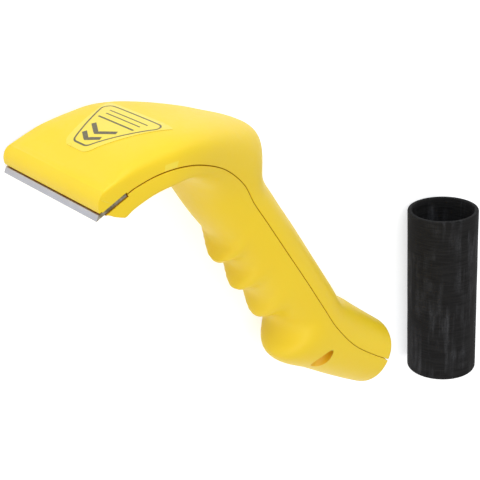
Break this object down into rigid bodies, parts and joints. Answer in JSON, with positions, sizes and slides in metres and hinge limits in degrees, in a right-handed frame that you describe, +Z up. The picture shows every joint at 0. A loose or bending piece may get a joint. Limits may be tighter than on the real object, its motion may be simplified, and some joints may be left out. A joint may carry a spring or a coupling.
{
  "type": "vacuum paint scraper",
  "caption": "Hand paint scraper with a hollow ergonomic grip that draws dust from a bevelled steel blade to a hose outlet, with a loose rubber hose adapter.",
  "frame": {"origin": "centre of the bounding box in plan, at the floor that the scraper and its adapter lie on", "axes": "+X along the scraper's reach, from the blade towards the hose outlet, +Y towards the top of the scraper's head, which lies on its side, +Z up off the floor"},
  "size_m": [0.2548, 0.1846, 0.0662],
  "materials": {
    "shell_yellow": "satin",
    "blade_steel": "satin",
    "screw_steel": "satin",
    "insert_brass": "satin",
    "label_clear": "satin",
    "adapter_rubber": "matte"
  },
  "bodies": {
    "scraper": {"upper_shell": "shell_yellow", "lower_shell": "shell_yellow", "scraper_blade": "blade_steel", "blade_screw_left": "screw_steel", "blade_screw_right": "screw_steel", "blade_insert_left": "insert_brass", "blade_insert_right": "insert_brass", "case_screw_head_left": "screw_steel", "case_screw_head_right": "screw_steel", "case_screw_rear_left": "screw_steel", "case_screw_rear_right": "screw_steel", "label_film": "label_clear"},
    "adapter": {"hose_adapter": "adapter_rubber"}
  },
  "joints": [
    {"name": "adapter_lift", "type": "slide", "parent": "scraper", "child": "adapter", "axis": [0, 0, 1], "range_m": [0, 0.1]}
  ]
}
